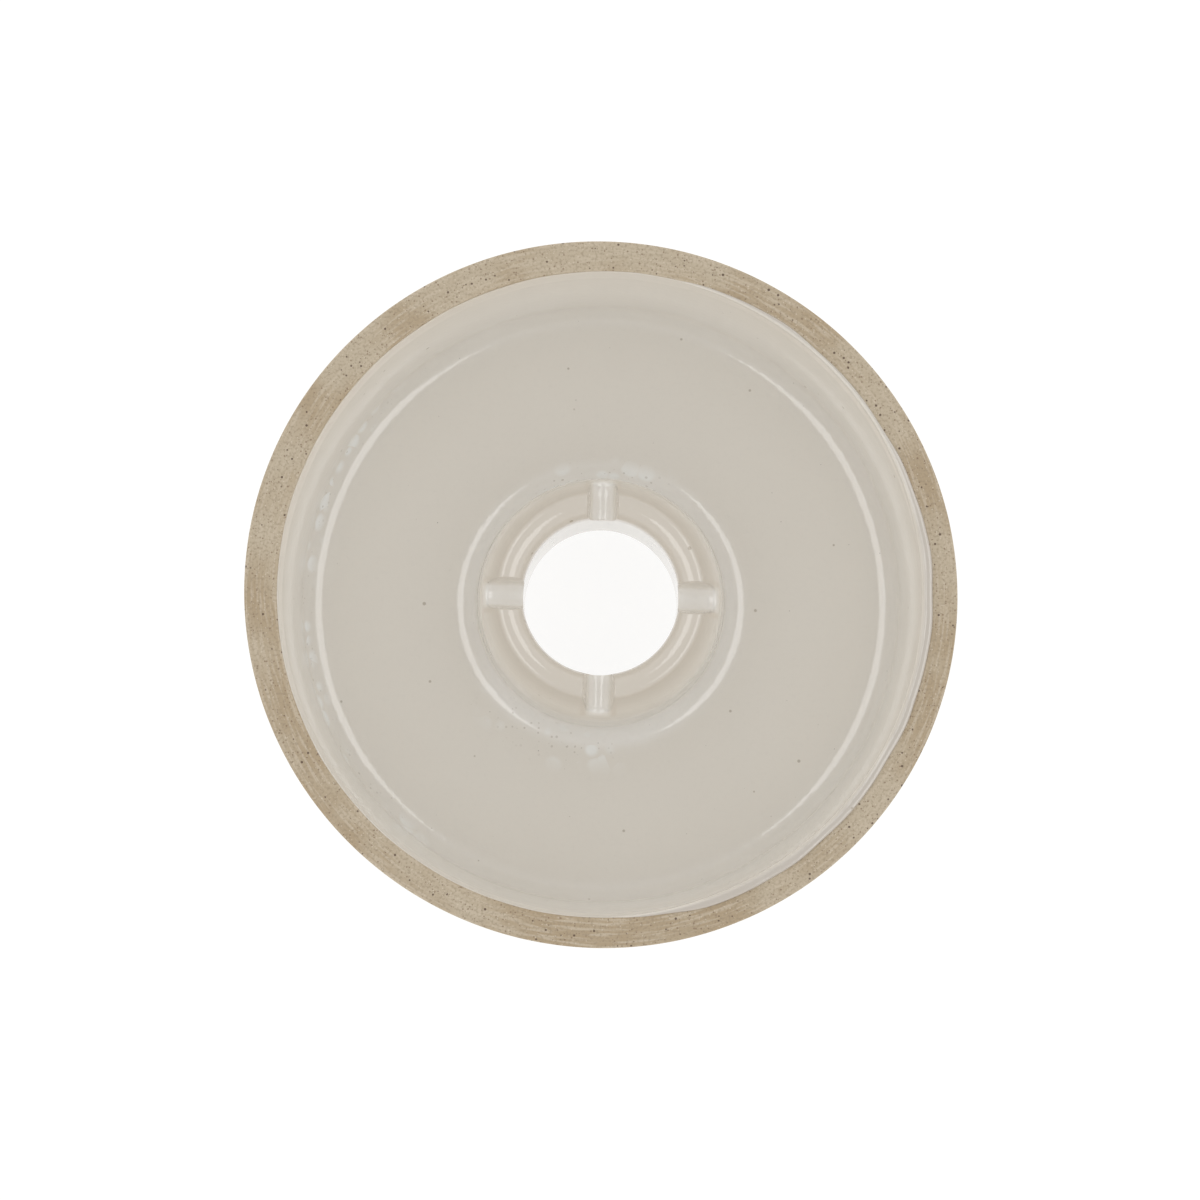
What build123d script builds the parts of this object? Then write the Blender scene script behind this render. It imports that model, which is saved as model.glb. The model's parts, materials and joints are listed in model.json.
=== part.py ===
"""Round stoneware dish with a grooved collar round its centre hole.

One fired clay body carries two glaze coats. The inner coat covers the inside wall, the floor, the
collar, its four channels, the hole and the recess under the base. The outer coat covers the
outside wall. The rim face and the foot ring are bare clay, and part the two coats.

Millimetres, +Z up, origin at the centre of the base, on the level that the foot ring rests on.
The channels run along X and Y.
"""

import os
from math import radians, tan

from build123d import *

# Overall, over the glaze
outer_diameter = 100.0
height = 30.0

# Wall and rim
rim_width = 4.5
wall_draft = 5.0
rim_edge_round = 0.4

# Floor and base
floor_height = 5.0
floor_fillet = 3.4
base_round = 4.5
foot_inner_diameter = 72.0
foot_recess = 0.8

# Glaze, and the bare clay left at its edges
glaze = 0.35
rim_bare = 0.4
foot_bare = 2.0

# Hole and collar. The collar's shoulder leans out from the crest, and its wall is steeper below.
bore_diameter = 22.0
bore_edge_round = 1.2
collar_height = 20.0
collar_wall = 3.7
crest_inner_round = 2.9
crest_outer_round = 0.8
shoulder_drop = 5.5
shoulder_draft = 25.0
shoulder_round = 4.0
collar_draft = 3.0
collar_fillet = 3.3

# Channels across the collar
channel_width = 4.0
channel_depth = 5.0

outer_radius = outer_diameter / 2
rim_inner_radius = outer_radius - rim_width
foot_inner_radius = foot_inner_diameter / 2
bore_radius = bore_diameter / 2
crest_height = floor_height + collar_height
wall_lean = tan(radians(wall_draft))
shoulder_lean = tan(radians(shoulder_draft))
collar_lean = tan(radians(collar_draft))


def half_outline(coat):
    """Half section of the dish as corners and their rounding, with coat of glaze on the clay.

    Nothing is added on the two bare faces, the rim and the foot ring.
    """
    bare = glaze - coat
    recess = foot_recess - coat
    floor = floor_height - bare
    crest = crest_height - bare
    bore = bore_radius + bare
    collar_outside = bore_radius + collar_wall - bare
    shoulder_outside = collar_outside + shoulder_drop * shoulder_lean
    shoulder = crest - shoulder_drop
    collar_foot = shoulder_outside + (shoulder - floor) * collar_lean
    rim_inside = rim_inner_radius - coat
    wall_inside = rim_inside - (height - floor) * wall_lean
    rim_outside = outer_radius - bare
    wall_outside = rim_outside - height * wall_lean
    corners_and_rounds = [
        ((bore, recess), bore_edge_round - bare),
        ((bore, crest), crest_inner_round - bare),
        ((collar_outside, crest), crest_outer_round - bare),
        ((shoulder_outside, shoulder), shoulder_round - bare),
        ((collar_foot, floor), collar_fillet + bare),
        ((wall_inside, floor), floor_fillet + bare),
        ((rim_inside, height), 0),
        ((rim_outside, height), rim_edge_round),
        ((wall_outside, 0), base_round - bare),
        ((foot_inner_radius, 0), 0),
        ((foot_inner_radius, recess), 0),
    ]
    return zip(*corners_and_rounds)


def half_section(coat):
    """The face inside half_outline."""
    corners, rounds = half_outline(coat)
    with BuildSketch(Plane.XY) as section:
        with BuildLine():
            FilletPolyline(*corners, radius=rounds, close=True)
        make_face()
    return section.sketch


def channel_bar(half_width):
    """A round-bottomed bar along X, which cuts two facing channels through the collar."""
    bar_bottom = crest_height - channel_depth + channel_width / 2 - half_width
    reach = bore_radius + collar_wall + shoulder_drop * shoulder_lean + collar_fillet
    with BuildPart() as bar:
        with BuildSketch(Plane.YZ.offset(-reach)):
            with Locations((0, bar_bottom)):
                Circle(half_width, align=(Align.CENTER, Align.MIN))
            with Locations((0, bar_bottom + half_width)):
                Rectangle(2 * half_width, channel_depth, align=(Align.CENTER, Align.MIN))
        extrude(amount=2 * reach)
    return bar.part


# The line through the middle of the clay, which parts the inner coat from the outer
middle = rim_width / 2
inner_side = (
    (0, -floor_height),
    (foot_inner_radius, -floor_height),
    (foot_inner_radius, floor_height - middle),
    (rim_inner_radius - height * wall_lean + middle, floor_height - middle),
    (rim_inner_radius + middle, height - rim_bare),
    (0, height - rim_bare),
)

# Two crossed bars make the four channels, wider in the clay by the glaze that lines them
channel_turns = (0, 90)
glazed_channel_bar = channel_bar(channel_width / 2)
clay_channel_bar = channel_bar(channel_width / 2 + glaze)

# Clay body: wall, floor, and the collar with its hole and channels
with BuildPart() as clay_body:
    with BuildSketch(Plane.XZ):
        add(half_section(0))
    revolve(axis=Axis.Z)
    for turn in channel_turns:
        add(clay_channel_bar, rotation=(0, 0, turn), mode=Mode.SUBTRACT)
clay_body.part.label = "clay_body"

# Inner coat: what lies between the clay and the glazed surface, inside the dish
with BuildPart() as inner_glaze:
    with BuildSketch(Plane.XZ):
        add(half_section(glaze))
        with BuildLine():
            Polyline(*inner_side, close=True)
        make_face(mode=Mode.INTERSECT)
    revolve(axis=Axis.Z)
    for turn in channel_turns:
        add(glazed_channel_bar, rotation=(0, 0, turn), mode=Mode.SUBTRACT)
    add(clay_body.part, mode=Mode.SUBTRACT)
inner_glaze.part.label = "inner_glaze"

# Outer coat: the outside wall, from just above the foot to just below the rim
with BuildPart() as outer_glaze:
    with BuildSketch(Plane.XZ):
        add(half_section(glaze))
        add(half_section(0), mode=Mode.SUBTRACT)
        with BuildLine():
            Polyline(*inner_side, close=True)
        make_face(mode=Mode.SUBTRACT)
        Rectangle(
            2 * outer_radius,
            foot_bare,
            align=(Align.CENTER, Align.MIN),
            mode=Mode.SUBTRACT,
        )
        with Locations((0, height - rim_bare)):
            Rectangle(
                2 * outer_radius,
                rim_bare,
                align=(Align.CENTER, Align.MIN),
                mode=Mode.SUBTRACT,
            )
    revolve(axis=Axis.Z)
outer_glaze.part.label = "outer_glaze"

os.makedirs("parts", exist_ok=True)
for piece in (clay_body, inner_glaze, outer_glaze):
    export_step(piece.part, f"parts/{piece.part.label}.step")
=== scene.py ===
"""Looks of the round stoneware dish with the grooved collar.

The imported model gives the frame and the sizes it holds. Three fine meshes stand for the three CAD
nodes: the clay body and its two glaze coats. Metres, +Z up, origin under the centre of the base.
"""

import json
import math

import bpy
import numpy as np
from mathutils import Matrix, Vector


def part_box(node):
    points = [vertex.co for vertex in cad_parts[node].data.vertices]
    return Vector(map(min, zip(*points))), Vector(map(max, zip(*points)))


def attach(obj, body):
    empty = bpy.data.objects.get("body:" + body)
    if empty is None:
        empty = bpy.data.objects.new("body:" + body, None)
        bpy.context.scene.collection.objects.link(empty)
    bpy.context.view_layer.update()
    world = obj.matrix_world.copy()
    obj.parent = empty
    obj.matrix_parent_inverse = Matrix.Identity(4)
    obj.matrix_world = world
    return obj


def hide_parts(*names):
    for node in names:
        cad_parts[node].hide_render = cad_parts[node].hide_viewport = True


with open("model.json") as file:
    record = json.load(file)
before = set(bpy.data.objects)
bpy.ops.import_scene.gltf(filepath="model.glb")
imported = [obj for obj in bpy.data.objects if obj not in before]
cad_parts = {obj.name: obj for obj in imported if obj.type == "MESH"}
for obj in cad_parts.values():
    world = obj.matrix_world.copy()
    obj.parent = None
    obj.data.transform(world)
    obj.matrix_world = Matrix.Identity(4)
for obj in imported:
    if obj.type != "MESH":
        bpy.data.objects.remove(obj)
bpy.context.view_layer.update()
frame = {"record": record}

MM = 0.001

# Sizes that the frame holds
mounts = {mount["name"]: mount for mount in frame["record"]["mounts"]}
bore_radius = mounts["bore"]["dims"]["r_mm"] * MM
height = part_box("clay_body")[1].z
recess_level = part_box("inner_glaze")[0].z

# Sizes of the section, over the glaze
glaze = 0.35 * MM
outer_radius = 50 * MM
rim_inner_radius = 45.5 * MM
wall_lean = math.tan(math.radians(5))
floor_height = 5 * MM
floor_fillet = 3.4 * MM
crest_height = 25 * MM
collar_wall = 3.7 * MM
crest_inner_round = 2.9 * MM
crest_outer_round = 1.0 * MM
shoulder_drop = 5.5 * MM
shoulder_lean = math.tan(math.radians(25))
shoulder_round = 20 * MM
collar_lean = math.tan(math.radians(3))
collar_fillet = 3.3 * MM
bore_edge_round = 1.2 * MM
foot_inner_radius = 36 * MM
foot_edge_round = 0.2 * MM
base_round = 4.5 * MM
rim_edge_round = 0.4 * MM
arris_round = 0.2 * MM
channel_radius = 2 * MM
channel_depth = 5 * MM
channel_end = 17 * MM
channel_narrowing = 0.2 * MM  # the glaze is this much thicker in a channel than elsewhere

# How far a coat's hidden back face sits inside the clay, so that the two faces don't fight
bedding = 0.06 * MM

rim_trim = 0.05 * MM  # the trimmed rim ends this much inside the nominal outline

# The outer edge is out of round: this much wider each way along its bearing, narrower across it
ovality = 0.28 * MM
oval_bearing = math.radians(-24)


# ---------------------------------------------------------------- section of the dish

def rounded_path(corners_and_rounds):
    """Points along straight runs joined by arcs, for corners given as ((r, z), rounding).

    The two ends have no rounding.
    """
    corners = [np.array(corner, float) for corner, _ in corners_and_rounds]
    rounds = [rounding for _, rounding in corners_and_rounds]
    degrees_a_step = 4
    points = []
    for i, (corner, rounding) in enumerate(zip(corners, rounds)):
        if rounding == 0:
            points.append(corner)
            continue
        back = corners[i - 1] - corner
        on = corners[i + 1] - corner
        back /= np.linalg.norm(back)
        on /= np.linalg.norm(on)
        half = math.acos(np.clip(back @ on, -1, 1)) / 2
        start = corner + back * rounding / math.tan(half)
        centre = corner + (back + on) / np.linalg.norm(back + on) * rounding / math.sin(half)
        sweep = math.pi - 2 * half
        turn = math.copysign(1, back[1] * on[0] - back[0] * on[1])
        steps = max(3, int(math.degrees(sweep) / degrees_a_step))
        for angle in np.linspace(0, sweep * turn, steps + 1):
            arm = start - centre
            cos, sin = math.cos(angle), math.sin(angle)
            points.append(centre + (arm[0] * cos - arm[1] * sin, arm[0] * sin + arm[1] * cos))
    return np.array(points)


class Path:
    """A section line, read by the distance along it."""

    def __init__(self, corners_and_rounds, spacing=0.05 * MM):
        points = rounded_path(corners_and_rounds)
        lengths = np.r_[0, np.cumsum(np.linalg.norm(np.diff(points, axis=0), axis=1))]
        self.length = lengths[-1]
        self.s = np.linspace(0, self.length, int(self.length / spacing))
        self.r = np.interp(self.s, lengths, points[:, 0])
        self.z = np.interp(self.s, lengths, points[:, 1])
        along_r, along_z = np.gradient(self.r), np.gradient(self.z)
        size = np.hypot(along_r, along_z)
        self.out_r, self.out_z = along_z / size, -along_r / size

    def at(self, s):
        """Radius, height, and the outward direction's two parts."""
        return [np.interp(s, self.s, v) for v in (self.r, self.z, self.out_r, self.out_z)]

    def nearest(self, r, z):
        """The distance along the path of the point nearest to (r, z)."""
        return self.s[np.argmin(np.hypot(self.r - r, self.z - z))]


clay_floor = floor_height - glaze
clay_crest = crest_height - glaze
clay_bore = bore_radius + glaze
collar_outside = clay_bore - 2 * glaze + collar_wall
shoulder_outside = collar_outside + shoulder_drop * shoulder_lean
shoulder_level = clay_crest - shoulder_drop
collar_foot = shoulder_outside + (shoulder_level - clay_floor) * collar_lean
wall_foot = rim_inner_radius - (height - clay_floor) * wall_lean
rim_outside = outer_radius - rim_trim
wall_outside = rim_outside - height * wall_lean
recess = recess_level + glaze
rim_middle = (rim_inner_radius + rim_outside) / 2

inner_corners = [
    ((rim_middle, height), 0),
    ((rim_inner_radius, height), arris_round),
    ((wall_foot, clay_floor), floor_fillet + glaze),
    ((collar_foot, clay_floor), collar_fillet + glaze),
    ((shoulder_outside, shoulder_level), shoulder_round - glaze),
    ((collar_outside, clay_crest), crest_outer_round - glaze),
    ((clay_bore, clay_crest), crest_inner_round - glaze),
    ((clay_bore, recess), bore_edge_round - glaze),
    ((foot_inner_radius, recess), 0),
]
outer_corners = [
    ((foot_inner_radius, recess), 0),
    ((foot_inner_radius, 0), foot_edge_round),
    ((wall_outside, 0), base_round - glaze),
    ((rim_outside, height), rim_edge_round),
    ((rim_middle, height), 0),
]
inner_path = Path(inner_corners)
outer_path = Path(outer_corners)


# ---------------------------------------------------------------- columns round the axis

def bearings():
    """Angles round the axis, closer together where a channel crosses the collar."""
    near = math.radians(15)
    near_columns, far_columns = 84, 50
    quarter = np.r_[
        np.linspace(-near, near, near_columns, endpoint=False),
        np.linspace(near, math.pi / 2 - near, far_columns, endpoint=False),
    ]
    return np.concatenate([quarter + i * math.pi / 2 for i in range(4)])


turns = bearings()
# The turn from the nearest channel
to_channel = (turns + math.pi / 4) % (math.pi / 2) - math.pi / 4


def bump_between(angle, low, high, blend):
    """1 for bearings from low to high, easing to 0 over blend. Degrees from +X towards +Y."""
    middle = math.radians((low + high) / 2)
    half = math.radians((high - low) / 2)
    away = np.abs((angle - middle + math.pi) % (2 * math.pi) - math.pi)
    x = np.clip((half - away) / math.radians(blend) + 0.5, 0, 1)
    return x * x * (3 - 2 * x)


def waver(angle, seed, waves, size):
    """A smooth, seeded wander of about this size round the axis."""
    random = np.random.default_rng(seed)
    total = np.zeros_like(angle)
    for wave in waves:
        wander = random.normal() * np.sin(wave * angle + random.uniform(0, 2 * math.pi))
        total += wander / len(waves)
    return total * size


def soft_min(a, b, blend):
    """The lower of two heights, with a rounded edge where they cross."""
    h = np.clip(0.5 + 0.5 * (b - a) / blend, 0, 1)
    return b + (a - b) * h - blend * h * (1 - h)


def channel_floor(across, radius):
    """Height of a channel's half-round floor and steep sides, at a distance across it."""
    steepest = 7  # rise over run of the sides
    edge = radius * steepest / math.hypot(1, steepest)
    axis = crest_height - channel_depth + channel_radius
    inside = np.minimum(np.abs(across), edge)
    floor = axis - np.sqrt(radius**2 - inside**2)
    return floor + (np.abs(across) - inside) * steepest


bore_top = inner_path.nearest(clay_bore, clay_crest - crest_inner_round + glaze)
bore_bottom = inner_path.nearest(clay_bore, recess + bore_edge_round - glaze)


def inner_surface(s, coat, channel, edge_blend=0.5 * MM):
    """The inside of the dish, with channels of this radius cut in its collar.

    s is the distance along the clay section, and coat is the glaze thickness there.
    """
    r, z, out_r, out_z = inner_path.at(s)
    r = r + out_r * coat
    z = z + out_z * coat
    # A channel ends in a half round where it runs out through the collar's side
    past_end = np.maximum(r - (channel_end - channel), 0)
    floor = channel_floor(np.hypot(r * np.sin(to_channel), past_end), channel)
    low = inner_path.at(bore_bottom)[1]
    top = inner_path.at(bore_top)[1]
    lowered_top = soft_min(top, channel_floor(clay_bore * np.sin(to_channel), channel), edge_blend)
    share = np.clip((z - low) / (top - low), 0, 1)
    # Rows in the bore are squeezed down under the channel's floor
    in_bore = (s > bore_top) & (s < bore_bottom + 2 * MM)
    above = s <= bore_top
    cut = np.where(r < collar_foot + 1 * MM, soft_min(z, floor, edge_blend), z)
    z = np.where(above, cut, np.where(in_bore, z - share * (top - lowered_top), z))
    return r, z


def oval(r):
    """Radius with the outer edge slightly out of round, as the rim is."""
    weight = np.clip((r - rim_inner_radius) / (outer_radius - rim_inner_radius), 0, 1)
    return r + weight * ovality * np.cos(2 * (turns - oval_bearing))


# ---------------------------------------------------------------- meshes

def grid_mesh(name, r, z, values):
    """A closed ring of quads: rows are loops round the axis, and the last row joins the first."""
    rows, columns = r.shape
    r = oval(r)
    points = np.stack([r * np.cos(turns), r * np.sin(turns), z], axis=2).reshape(-1, 3)
    row, column = np.meshgrid(np.arange(rows), np.arange(columns), indexing="ij")
    next_row, next_column = (row + 1) % rows, (column + 1) % columns
    quads = np.stack(
        [
            row * columns + column,
            next_row * columns + column,
            next_row * columns + next_column,
            row * columns + next_column,
        ],
        axis=2,
    ).reshape(-1, 4)
    mesh = bpy.data.meshes.new(name)
    mesh.vertices.add(len(points))
    mesh.vertices.foreach_set("co", points.ravel())
    mesh.loops.add(quads.size)
    mesh.loops.foreach_set("vertex_index", quads.ravel())
    mesh.polygons.add(len(quads))
    mesh.polygons.foreach_set("loop_start", np.arange(0, quads.size, 4))
    mesh.update(calc_edges=True)
    mesh.validate()
    mesh.shade_smooth()
    for key, value in values.items():
        attribute = mesh.attributes.new(key, "FLOAT", "POINT")
        attribute.data.foreach_set("value", np.broadcast_to(value, r.shape).ravel())
    piece = bpy.data.objects.new(name, mesh)
    bpy.context.scene.collection.objects.link(piece)
    return piece


def rows_along(path, start, end, spacing):
    """Distances along a path, closer together where it curves."""
    s = path.s[(path.s >= start) & (path.s <= end)]
    _, _, out_r, out_z = path.at(s)
    turning = np.abs(np.gradient(np.unwrap(np.arctan2(out_z, out_r)), s))
    tightest_bend = 1 / (0.25 * MM)
    rows_a_radian = 4.5
    density = 1 / spacing + np.minimum(turning, tightest_bend) * rows_a_radian
    total = np.r_[0, np.cumsum((density[1:] + density[:-1]) / 2 * np.diff(s))]
    return np.interp(np.linspace(0, total[-1], int(total[-1]) + 1), total, s)


def bead(distance, width):
    """A coat's share of its full thickness at a distance inside its edge, rounded at the edge."""
    x = np.clip(distance / width, 0, 1)
    return np.sqrt(1 - (1 - x) ** 2)


# Distances along the inside of the section, from the rim towards the foot
arris = inner_path.nearest(rim_inner_radius, height)
floor_fillet_at = inner_path.nearest(wall_foot, clay_floor)
collar_fillet_at = inner_path.nearest(collar_foot, clay_floor)
shoulder_at = inner_path.nearest(shoulder_outside, shoulder_level)
crest_outer_at = inner_path.nearest(collar_outside, clay_crest)
crest_inner_at = inner_path.nearest(clay_bore, clay_crest)
foot_at = inner_path.length


def pooled(s):
    """How thick the glaze lies: 1 where it pooled in a hollow, -1 where it drew off an edge."""
    stations = [
        (arris - 1.5 * MM, 0.3),
        (arris - 0.3 * MM, 0.2),
        (arris + 0.5 * MM, -0.5),
        (arris + 6 * MM, 0.0),
        (floor_fillet_at - 5 * MM, 0.4),
        (floor_fillet_at, 0.2),
        (floor_fillet_at + 3.5 * MM, 0.0),
        (collar_fillet_at - 3.6 * MM, 0.0),
        (collar_fillet_at - 2.0 * MM, 0.4),
        (collar_fillet_at + 1.0 * MM, 0.8),
        (collar_fillet_at + 5 * MM, 0.3),
        (shoulder_at, -0.45),
        (crest_outer_at - 1 * MM, -0.6),
        (crest_outer_at + 0.6 * MM, -0.35),
        (crest_inner_at - 1.2 * MM, 0.1),
        (crest_inner_at + 0.3 * MM, 0.1),
        (bore_top, -1.0),
        (bore_top + 1.5 * MM, -0.3),
        (bore_bottom, -0.2),
        (foot_at, 0.2),
    ]
    return np.interp(s, *zip(*stations))


def band(value, middle, half_width):
    """1 at the middle of a soft-edged band, falling to 0 outside it."""
    return np.exp(-(((value - middle) / half_width) ** 2))


def inner_zones(s, r, z, pool):
    """Shares that the inner coat's colour and gloss are mixed by, at each point."""
    across = np.abs(r * np.sin(to_channel))
    in_collar = (s > collar_fillet_at + 1 * MM) & (s < bore_top)
    grooved = in_collar * (z > shoulder_level - 0.5 * MM)
    depth = np.clip((crest_height - 1.2 * MM - z) / (2 * MM), 0, 1)
    groove = np.clip((channel_radius * 0.9 - across) / (0.5 * MM), 0, 1) * grooved * depth
    lip = band(across, channel_radius * 1.12, 0.35 * MM) * grooved
    south = bump_between(turns, -140, -55, 50) * band(s, collar_fillet_at, 3.2 * MM)
    # Painted shade: the collar's crest and the top of the inner wall are coloured darker, because they
    # stand high and catch more light
    crest_painted_shade = np.clip((z - 20.5 * MM) / (3.5 * MM), 0, 1) * (s > collar_fillet_at) * (1 - 0.5 * groove)
    upper_wall_painted_shade = 0.5 * np.clip((z - 18 * MM) / (10 * MM), 0, 1) * (s < floor_fillet_at)
    by_collar_north = bump_between(turns, 58, 118, 14) * band(r, 18.9 * MM, 1.6 * MM)
    by_collar_south = bump_between(turns, -135, -85, 26) * band(r, 21 * MM, 2.4 * MM)
    by_wall_west = bump_between(turns, 138, 232, 16) * band(s, floor_fillet_at - 1.5 * MM, 1.6 * MM)
    _, _, _, upward = inner_path.at(s)
    return {
        "pool": pool * (1 - groove) * (1 - lip) + 0.5 * groove - 1.1 * lip * (1 - groove) + 0.35 * south,
        "lapped": np.clip((arris - s) / (0.15 * MM), 0, 1),
        "thin": bump_between(turns, 98, 165, 40) * np.exp(-np.clip(s - arris, 0, 1) / (2.5 * MM)),
        "high": crest_painted_shade + upper_wall_painted_shade,
        "spots": by_collar_north + by_collar_south + by_wall_west,
        "calm": 1 - np.clip(np.abs(upward) / 0.3, 0, 1),
    }


def build_inner_glaze():
    """The inner coat: lapped over the rim on one side, drawn back from it on the other."""
    lap_step = 0.6 * MM
    lap = lap_step * bump_between(turns, -78, 70, 26) + lap_step * bump_between(turns, -75, 22, 30)
    lap = lap + waver(turns, 3, (5, 9, 14, 23, 37), 0.16 * MM)
    drawn = 0.5 * MM * bump_between(turns, 98, 165, 30)
    edge = arris + 0.15 * MM - lap + drawn
    # Rows start at the wandering edge, and are level from top_end on
    top_end = arris + 8 * MM
    share = np.r_[np.linspace(0, 0.1, 9)[:-1], np.linspace(0.1, 1, 22)][:, None]
    top = edge[None, :] + (top_end - edge[None, :]) * share
    rest = rows_along(inner_path, top_end, foot_at, 1.2 * MM)[1:, None] * np.ones_like(turns)
    s = np.vstack([top, rest])
    pool = pooled(s)
    distance = s - edge
    # The coat thins towards its edge, except where it lapped over the rim
    inward = np.clip(distance / (3 * MM), 0, 1)
    held = np.maximum(inward, np.clip(lap / (1.2 * MM), 0, 1))
    coat = glaze * (1 + 0.3 * pool) * (0.3 + 0.7 * held) * bead(distance, 0.5 * MM)
    coat = coat * bead(foot_at - s, 0.3 * MM)
    coat = coat + 0.04 * MM * waver(turns, 11, (2, 3, 5, 7), 1) * inward
    r, z = inner_surface(s, coat, channel_radius - channel_narrowing)

    # The hidden face inside the clay goes back from the foot to the rim, with fewer rows
    back = s[::-6]
    back_r, back_z = inner_surface(back, -bedding, channel_radius + glaze + bedding)
    hidden = np.zeros_like(back)
    zones = {name: np.vstack([zone, hidden]) for name, zone in inner_zones(s, r, z, pool).items()}
    return grid_mesh("inner_glaze_coat", np.vstack([r, back_r]), np.vstack([z, back_z]), zones)


def build_outer_glaze():
    """The outer coat, from just above the foot to just under the rim."""
    rim_edge = outer_path.nearest(rim_outside, height)
    foot_line = outer_path.nearest(wall_outside, 0) + 1.2 * MM
    reach = 0.8 * MM * bump_between(turns, 55, 161, 24)
    top = rim_edge - 1.3 * MM + reach + waver(turns, 21, (4, 7, 13, 22), 0.25 * MM)
    low = foot_line + waver(turns, 22, (2, 3, 5, 8, 13), 1.0 * MM)
    rows = 64
    share = (1 - np.cos(np.linspace(0, math.pi, rows))) / 2
    s = low[None, :] + (top - low)[None, :] * share[:, None]
    sag = np.exp(-(s - low) / (5 * MM))
    thinned = 0.15 + 0.85 * np.clip((top - s) / (7 * MM), 0, 1)
    coat = glaze * (1 + 0.4 * sag) * thinned * bead(s - low, 0.6 * MM) * bead(top - s, 0.5 * MM)
    r, z, out_r, out_z = outer_path.at(s)
    pool = -0.35 * np.exp(-(top - s) / (1.5 * MM)) + 0.6 * sag
    back_r, back_z, back_out_r, back_out_z = outer_path.at(s[::-4])
    hidden = np.zeros_like(back_r)
    zones = {
        "pool": np.vstack([pool, hidden]),
        "lapped": 0.0,
        "thin": 0.0,
        # Painted shade: the whole outer coat is coloured darker, because it faces the bright room light
        # directly
        "high": 0.9,
        "spots": 0.0,
        "calm": 0.0,
    }
    return grid_mesh(
        "outer_glaze_coat",
        np.vstack([r + out_r * coat, back_r - back_out_r * bedding]),
        np.vstack([z + out_z * coat, back_z - back_out_z * bedding]),
        zones,
    )


def build_clay_body():
    """The whole fired body, hidden under the glaze but for its rim and foot ring."""
    inside = rows_along(inner_path, 0, inner_path.length, 1.4 * MM)[:, None] * np.ones_like(turns)
    outside = rows_along(outer_path, 0, outer_path.length, 1.4 * MM)[1:-1, None]
    outside = outside * np.ones_like(turns)
    r, z = inner_surface(inside, 0, channel_radius + glaze)
    out_r, out_z, _, _ = outer_path.at(outside)
    return grid_mesh("stoneware_body", np.vstack([r, out_r]), np.vstack([z, out_z]), {})


# ---------------------------------------------------------------- materials

class Shader:
    """A node material, with short calls for the nodes that it needs."""

    def __init__(self, name, roughness):
        self.material = bpy.data.materials.new(name)
        self.material.use_nodes = True
        self.tree = self.material.node_tree
        self.surface = self.tree.nodes["Principled BSDF"]
        self.surface.inputs["Roughness"].default_value = roughness
        self.place = self.tree.nodes.new("ShaderNodeTexCoord").outputs["Object"]

    def node(self, kind, inputs, **settings):
        made = self.tree.nodes.new(kind)
        for key, value in settings.items():
            setattr(made, key, value)
        for key, value in inputs.items():
            if isinstance(value, bpy.types.NodeSocket):
                self.tree.links.new(value, made.inputs[key])
            else:
                made.inputs[key].default_value = value
        return made

    def math(self, operation, a, b=0.0, clamp=False):
        made = self.node("ShaderNodeMath", {0: a, 1: b}, operation=operation, use_clamp=clamp)
        return made.outputs[0]

    def noise(self, scale, detail=3.0, place=None):
        """Noise about 0.5, with this many features a metre."""
        inputs = {"Vector": place or self.place, "Scale": scale, "Detail": detail}
        return self.node("ShaderNodeTexNoise", inputs).outputs["Fac"]

    def ramp(self, value, low, high):
        """value taken from low..high to 0..1, eased."""
        inputs = {"Value": value, "From Min": low, "From Max": high}
        made = self.node("ShaderNodeMapRange", inputs, interpolation_type="SMOOTHSTEP")
        return made.outputs["Result"]

    def attribute(self, name):
        return self.node("ShaderNodeAttribute", {}, attribute_name=name).outputs["Fac"]

    def mix(self, factor, a, b):
        made = self.node("ShaderNodeMix", {"Factor": factor, "A": a, "B": b}, data_type="RGBA")
        return made.outputs["Result"]

    def layer(self, under, mask, strength, colour):
        """A colour laid over another by a mask, at this strength."""
        return self.mix(self.math("MULTIPLY", mask, strength), under, colour)

    def specks(self, scale, size, share=1.0):
        """Round specks: 1 inside a speck. scale is cells a metre, and size is in cells."""
        cells = self.node("ShaderNodeTexVoronoi", {"Vector": self.place, "Scale": scale})
        chance = self.node("ShaderNodeSeparateColor", {"Color": cells.outputs["Color"]})
        radius = self.math("MULTIPLY", chance.outputs["Green"], size)
        inside = self.math("SUBTRACT", radius, cells.outputs["Distance"])
        speck = self.ramp(inside, 0.0, size * 0.35)
        kept = self.math("LESS_THAN", chance.outputs["Red"], share)
        return self.math("MULTIPLY", speck, kept)

    def bump(self, height_value, strength, distance, normal=None):
        inputs = {"Height": height_value, "Strength": strength, "Distance": distance}
        if normal is not None:
            inputs["Normal"] = normal
        return self.node("ShaderNodeBump", inputs).outputs["Normal"]

    def finish(self, colour, normal):
        self.tree.links.new(colour, self.surface.inputs["Base Color"])
        self.tree.links.new(normal, self.surface.inputs["Normal"])
        return self.material


def linear(red, green, blue):
    """A screen colour, 0 to 255, as scene-linear."""
    return tuple(((v / 255 + 0.055) / 1.055) ** 2.4 for v in (red, green, blue)) + (1.0,)


def wheel_streaks(clay):
    """Noise drawn out round the axis: fine from ring to ring, and long along each ring."""
    rings_a_metre, features_a_turn = 2600.0, 9.0
    split = clay.node("ShaderNodeSeparateXYZ", {"Vector": clay.place})
    x, y = split.outputs["X"], split.outputs["Y"]
    squares = clay.math("ADD", clay.math("MULTIPLY", x, x), clay.math("MULTIPLY", y, y))
    radius = clay.math("SQRT", squares)
    around = clay.node(
        "ShaderNodeCombineXYZ",
        {
            "X": clay.math("MULTIPLY", radius, rings_a_metre),
            "Y": clay.math("MULTIPLY", clay.math("DIVIDE", x, radius), features_a_turn),
            "Z": clay.math("MULTIPLY", clay.math("DIVIDE", y, radius), features_a_turn),
        },
    ).outputs["Vector"]
    return clay.noise(1.0, 2.0, around)


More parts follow.
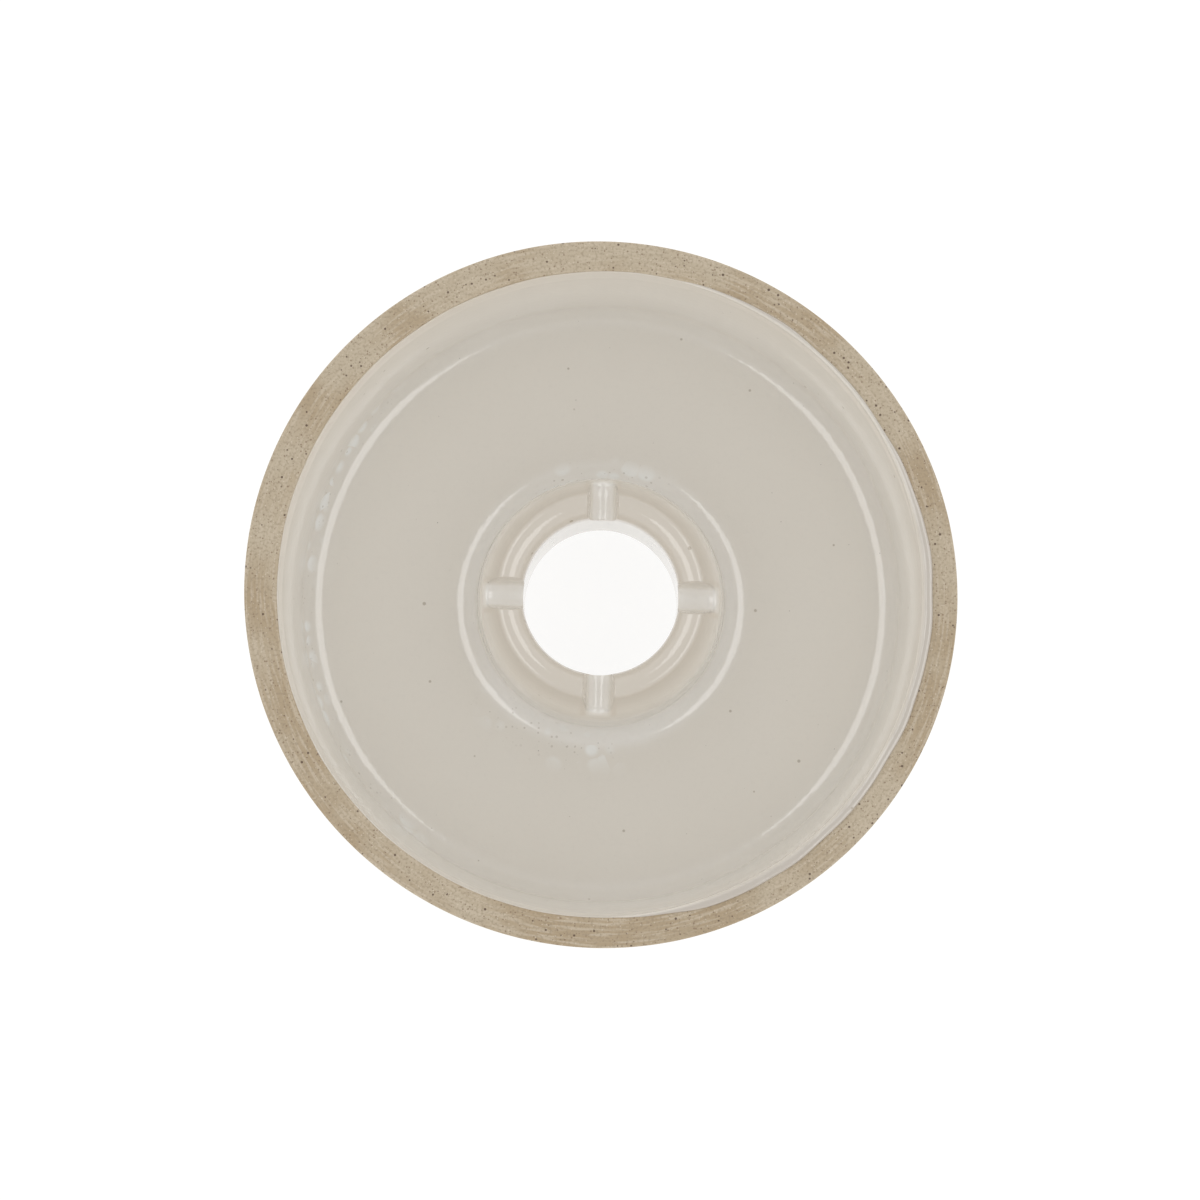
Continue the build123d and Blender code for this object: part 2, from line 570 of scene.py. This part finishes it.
def bare_clay():
    """Matt beige stoneware: iron specks, pale grog, and streaks left by trimming on the wheel."""
    body, pale_body = linear(168, 149, 121), linear(184, 170, 147)
    trimmed, gritty = linear(192, 178, 156), linear(142, 126, 104)
    pale_grog, rust, iron = linear(212, 200, 180), linear(112, 86, 60), linear(70, 46, 30)

    clay = Shader("bare_stoneware", 0.85)
    streaks = wheel_streaks(clay)
    clouds = clay.noise(90.0, 4.0)
    grain = clay.noise(2600.0, 2.0)
    colour = clay.mix(clay.ramp(clouds, 0.35, 0.65), body, pale_body)
    colour = clay.layer(colour, clay.ramp(streaks, 0.46, 0.66), 0.75, trimmed)
    colour = clay.layer(colour, clay.ramp(grain, 0.45, 0.7), 0.5, gritty)
    colour = clay.layer(colour, clay.specks(3200.0, 0.45, 0.35), 0.5, pale_grog)
    fine = clay.specks(3000.0, 0.5, 0.35)
    colour = clay.layer(colour, fine, 0.6, rust)
    colour = clay.layer(colour, clay.specks(1500.0, 0.34, 0.3), 0.85, iron)
    relief = clay.math("ADD", clay.math("MULTIPLY", grain, 0.5), streaks)
    relief = clay.math("SUBTRACT", relief, fine)
    return clay.finish(colour, clay.bump(relief, 0.5, 0.05 * MM))


def glossy_glaze(name):
    """Warm grey-white glaze: browner where thin, milky where it pooled, faintly rippled, with painted
    shade on high, exposed parts.
    """
    even, milky, brown_edge = linear(227, 222, 213), linear(241, 239, 235), linear(216, 208, 196)
    drawn_off, over_rim, raised_painted_shade = linear(226, 217, 203), linear(178, 171, 163), linear(203, 195, 183)
    blister, mottled, iron = linear(244, 245, 243), linear(212, 207, 200), linear(130, 112, 84)
    pit, pinhole = linear(150, 138, 120), linear(110, 100, 88)

    coat = Shader(name, 0.06)
    pool = coat.attribute("pool")
    clouds = coat.noise(55.0, 4.0)
    drift = coat.math("MULTIPLY", coat.math("SUBTRACT", clouds, 0.5), 0.5)
    thick = coat.math("ADD", pool, drift)
    colour = coat.mix(coat.ramp(thick, 0.0, 1.1), even, milky)
    thin = coat.math("MULTIPLY", thick, -1.0)
    colour = coat.mix(coat.ramp(thin, 0.05, 1.1), colour, brown_edge)
    colour = coat.mix(coat.attribute("thin"), colour, drawn_off)
    colour = coat.mix(coat.attribute("lapped"), colour, over_rim)
    # Painted shade: high, exposed parts take a darker colour in place of the extra light that they catch
    colour = coat.mix(coat.attribute("high"), colour, raised_painted_shade)
    blisters = coat.math("MULTIPLY", coat.specks(350.0, 0.75, 1.0), coat.attribute("spots"))
    colour = coat.mix(coat.math("MULTIPLY", blisters, 0.9, True), colour, blister)
    mottle = coat.noise(1400.0, 3.0)
    colour = coat.layer(colour, coat.ramp(mottle, 0.5, 0.8), 0.12, mottled)
    colour = coat.layer(colour, coat.specks(280.0, 0.1), 0.45, iron)
    pits = coat.math("MULTIPLY", coat.specks(1500.0, 0.4, 0.6), coat.attribute("spots"))
    colour = coat.layer(colour, pits, 0.35, pit)
    colour = coat.layer(colour, coat.specks(700.0, 0.07, 0.3), 0.6, pinhole)
    ripple = coat.noise(240.0, 2.0)
    orange_peel = coat.noise(900.0, 2.0)
    # Steep walls are smoother, as the glaze ran down them
    uneven = coat.math("SUBTRACT", 1.0, coat.math("MULTIPLY", coat.attribute("calm"), 0.92))
    normal = coat.bump(ripple, coat.math("MULTIPLY", uneven, 0.35), 0.06 * MM)
    normal = coat.bump(orange_peel, coat.math("MULTIPLY", uneven, 0.8), 0.05 * MM, normal)
    return coat.finish(colour, normal)


def floor_material():
    """A plain near-white studio sweep, glowing so that it comes out as white as a backdrop."""
    sweep = Shader("studio_floor", 0.9)
    tone = sweep.mix(sweep.noise(3.0), linear(136, 136, 135), linear(138, 138, 138))
    sweep.surface.inputs["Emission Color"].default_value = (1, 1, 1, 1)
    sweep.surface.inputs["Emission Strength"].default_value = 0.82
    sweep.surface.inputs["Specular IOR Level"].default_value = 0.0
    return sweep.finish(tone, sweep.bump(sweep.noise(40.0), 0.01, 0.1 * MM))


# ---------------------------------------------------------------- the dish

pieces = [
    (build_clay_body(), "clay_body", "bare_stoneware", bare_clay()),
    (build_inner_glaze(), "inner_glaze", "inner_glaze", glossy_glaze("inner_glaze_gloss")),
    (build_outer_glaze(), "outer_glaze", "outer_glaze", glossy_glaze("outer_glaze_gloss")),
]
for piece, node, slot, material in pieces:
    piece.data.materials.append(material)
    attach(piece, "root")
    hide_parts(node)


# ---------------------------------------------------------------- studio

def add_floor():
    """A wide floor, a hair under the dish's foot."""
    half = 3.0
    level = -0.02 * MM
    mesh = bpy.data.meshes.new("studio_floor")
    corners = [(-half, -half, level), (half, -half, level), (half, half, level), (-half, half, level)]
    mesh.from_pydata(corners, [], [(0, 1, 2, 3)])
    floor = bpy.data.objects.new("studio_floor", mesh)
    bpy.context.scene.collection.objects.link(floor)
    mesh.materials.append(floor_material())


def add_softbox(name, bearing):
    """A rectangular light a metre away, facing the dish, that makes gloss highlights only."""
    off_axis = 33  # degrees from overhead
    width, length = 0.58, 1.15
    radiance = 2.9
    light = bpy.data.lights.new(name, "AREA")
    light.shape = "RECTANGLE"
    light.size = width
    light.size_y = length
    light.energy = radiance * math.pi * width * length
    lamp = bpy.data.objects.new(name, light)
    lamp.visible_camera = False
    lamp.visible_diffuse = False
    bpy.context.scene.collection.objects.link(lamp)
    tilt = math.radians(off_axis)
    turn = math.radians(bearing)
    level = math.sin(tilt)
    lamp.location = (level * math.cos(turn), level * math.sin(turn), math.cos(tilt))
    lamp.rotation_euler = (0, tilt, turn)


def add_camera():
    """Nearly overhead and a little towards -Y, far off, as the dish was seen."""
    distance = 0.70
    lean = math.radians(3.8)
    roll = math.radians(1.3)
    seen_width = 0.1684
    lens = bpy.data.cameras.new("camera")
    lens.sensor_width = 36
    lens.lens = lens.sensor_width * distance / seen_width
    camera = bpy.data.objects.new("camera", lens)
    bpy.context.scene.collection.objects.link(camera)
    aim = (-0.0001, -0.0010, height)
    camera.location = (
        aim[0],
        aim[1] - distance * math.sin(lean),
        aim[2] + distance * math.cos(lean),
    )
    camera.rotation_mode = "XYZ"
    camera.rotation_euler = (lean, 0, 0)
    camera.rotation_euler.rotate_axis("Z", roll)
    bpy.context.scene.camera = camera


def add_world(overhead, horizon):
    """Even studio light, brighter towards the walls of the room than overhead."""
    world = bpy.data.worlds.new("studio")
    world.use_nodes = True
    tree = world.node_tree
    place = tree.nodes.new("ShaderNodeTexCoord")
    split = tree.nodes.new("ShaderNodeSeparateXYZ")
    level = tree.nodes.new("ShaderNodeMapRange")
    level.inputs["To Min"].default_value = horizon
    level.inputs["To Max"].default_value = overhead
    tree.links.new(place.outputs["Generated"], split.inputs["Vector"])
    tree.links.new(split.outputs["Z"], level.inputs["Value"])
    tree.links.new(level.outputs["Result"], tree.nodes["Background"].inputs["Strength"])
    tree.nodes["Background"].inputs["Color"].default_value = (1, 1, 1, 1)
    bpy.context.scene.world = world


add_floor()
add_softbox("softbox_east", 0)
add_softbox("softbox_west", 180)
add_world(overhead=0.72, horizon=1.58)
add_camera()
bpy.context.scene.view_settings.view_transform = "Standard"
